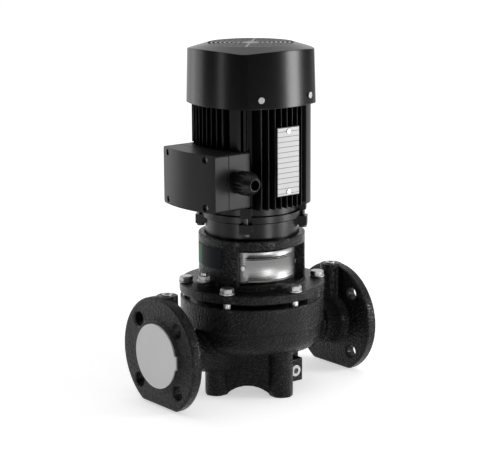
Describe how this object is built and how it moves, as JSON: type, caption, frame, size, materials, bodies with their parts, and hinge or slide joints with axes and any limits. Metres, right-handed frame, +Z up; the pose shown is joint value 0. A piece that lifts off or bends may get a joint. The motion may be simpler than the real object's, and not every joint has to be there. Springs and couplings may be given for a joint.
{
  "type": "in-line circulation pump",
  "caption": "Vertical in-line circulation pump: flanged volute casing, motor stool with guarded coupling and a finned fan-cooled motor with a side terminal box.",
  "frame": {"origin": "on the floor under the shaft axis, at the bottom of the feet", "axes": "+X along the pipe axis towards the discharge flange, +Z up along the shaft, +Y towards the side away from the name plate"},
  "size_m": [0.345, 0.2096, 0.497],
  "materials": {
    "cast_iron": "rough black paint on sand-cast iron",
    "bronze": "machined bronze",
    "seal_rubber": "black rubber",
    "zinc_steel": "bright zinc-plated steel",
    "cover_plastic": "pale grey moulded plastic",
    "guard_steel": "brushed stainless sheet",
    "label_green": "printed green film",
    "label_dark": "printed dark film",
    "impeller_steel": "pressed stainless steel",
    "shaft_steel": "ground stainless steel",
    "seal_ceramic": "white ceramic",
    "seal_carbon": "carbon",
    "coupling_iron": "machined iron",
    "bearing_steel": "ground bearing steel",
    "lamination": "stacked electrical sheet",
    "cast_aluminium": "cast aluminium",
    "winding_copper": "enamelled copper wire",
    "motor_paint": "satin black paint on die-cast aluminium",
    "black_bolt": "blackened steel",
    "fan_plastic": "black moulded plastic",
    "cover_paint": "semi-gloss black powder coat on drawn steel",
    "box_plastic": "satin black moulded plastic",
    "block_bakelite": "brown moulded resin",
    "brass": "brass",
    "gland_plastic": "black nylon",
    "plate_aluminium": "satin aluminium"
  },
  "bodies": {
    "stator": {"pump_casing": "cast_iron", "inlet_flange": "cast_iron", "outlet_flange": "cast_iron", "wear_ring": "bronze", "casing_o_ring": "seal_rubber", "drain_plug": "zinc_steel", "gauge_plugs": "zinc_steel", "motor_stool": "cast_iron", "head_bolts": "zinc_steel", "front_guard": "guard_steel", "rear_guard": "guard_steel", "guard_screws": "zinc_steel", "label_band": "label_green", "label_panel": "label_dark", "seal_seat": "seal_ceramic", "de_outer_ring": "bearing_steel", "nde_outer_ring": "bearing_steel", "stator_core": "lamination", "stator_windings": "winding_copper", "drive_end_shield": "motor_paint", "tie_bolts": "black_bolt", "motor_screws": "zinc_steel", "motor_frame": "motor_paint", "non_drive_shield": "motor_paint", "fan_cover": "cover_paint", "cover_screws": "zinc_steel", "terminal_box": "box_plastic", "box_gasket": "seal_rubber", "terminal_lid": "box_plastic", "lid_screws": "zinc_steel", "terminal_block": "block_bakelite", "terminal_studs": "brass", "gland_body": "gland_plastic", "gland_seal": "seal_rubber", "gland_nut": "gland_plastic", "name_plate": "plate_aluminium", "name_rivets": "plate_aluminium"},
    "rotor": {"impeller": "impeller_steel", "impeller_nut": "zinc_steel", "pump_shaft": "shaft_steel", "seal_face": "seal_carbon", "seal_sleeve": "seal_rubber", "seal_spring": "shaft_steel", "coupling_front": "coupling_iron", "coupling_rear": "coupling_iron", "coupling_screws": "zinc_steel", "motor_shaft": "shaft_steel", "de_inner_ring": "bearing_steel", "nde_inner_ring": "bearing_steel", "rotor_core": "lamination", "rotor_end_rings": "cast_aluminium", "fan": "fan_plastic", "fan_clip": "shaft_steel"},
    "de_balls": {"de_balls": "bearing_steel"},
    "nde_balls": {"nde_balls": "bearing_steel"},
    "inlet_cover": {"inlet_cover": "cover_plastic"},
    "outlet_cover": {"outlet_cover": "cover_plastic"},
    "vent_plug": {"vent_plug": "zinc_steel"}
  },
  "joints": [
    {"name": "rotor_spin", "type": "hinge", "parent": "stator", "child": "rotor", "pos_m": [0, 0, 0.1], "axis": [0, 0, 1], "continuous": true},
    {"name": "de_balls_spin", "type": "hinge", "parent": "stator", "child": "de_balls", "pos_m": [0, 0, 0.24], "axis": [0, 0, 1], "continuous": true},
    {"name": "nde_balls_spin", "type": "hinge", "parent": "stator", "child": "nde_balls", "pos_m": [0, 0, 0.41], "axis": [0, 0, 1], "continuous": true},
    {"name": "inlet_cover_slide", "type": "slide", "parent": "stator", "child": "inlet_cover", "axis": [-1, 0, 0], "range_m": [0, 0.08]},
    {"name": "outlet_cover_slide", "type": "slide", "parent": "stator", "child": "outlet_cover", "axis": [1, 0, 0], "range_m": [0, 0.08]},
    {"name": "vent_turn", "type": "hinge", "parent": "stator", "child": "vent_plug", "pos_m": [-0.086, 0, 0.17], "axis": [0, 0, 1], "range_deg": [0, 360]}
  ],
  "couplings": [
    {"joint": "de_balls_spin", "follows": "rotor_spin", "ratio": 0.38},
    {"joint": "nde_balls_spin", "follows": "rotor_spin", "ratio": 0.38}
  ]
}
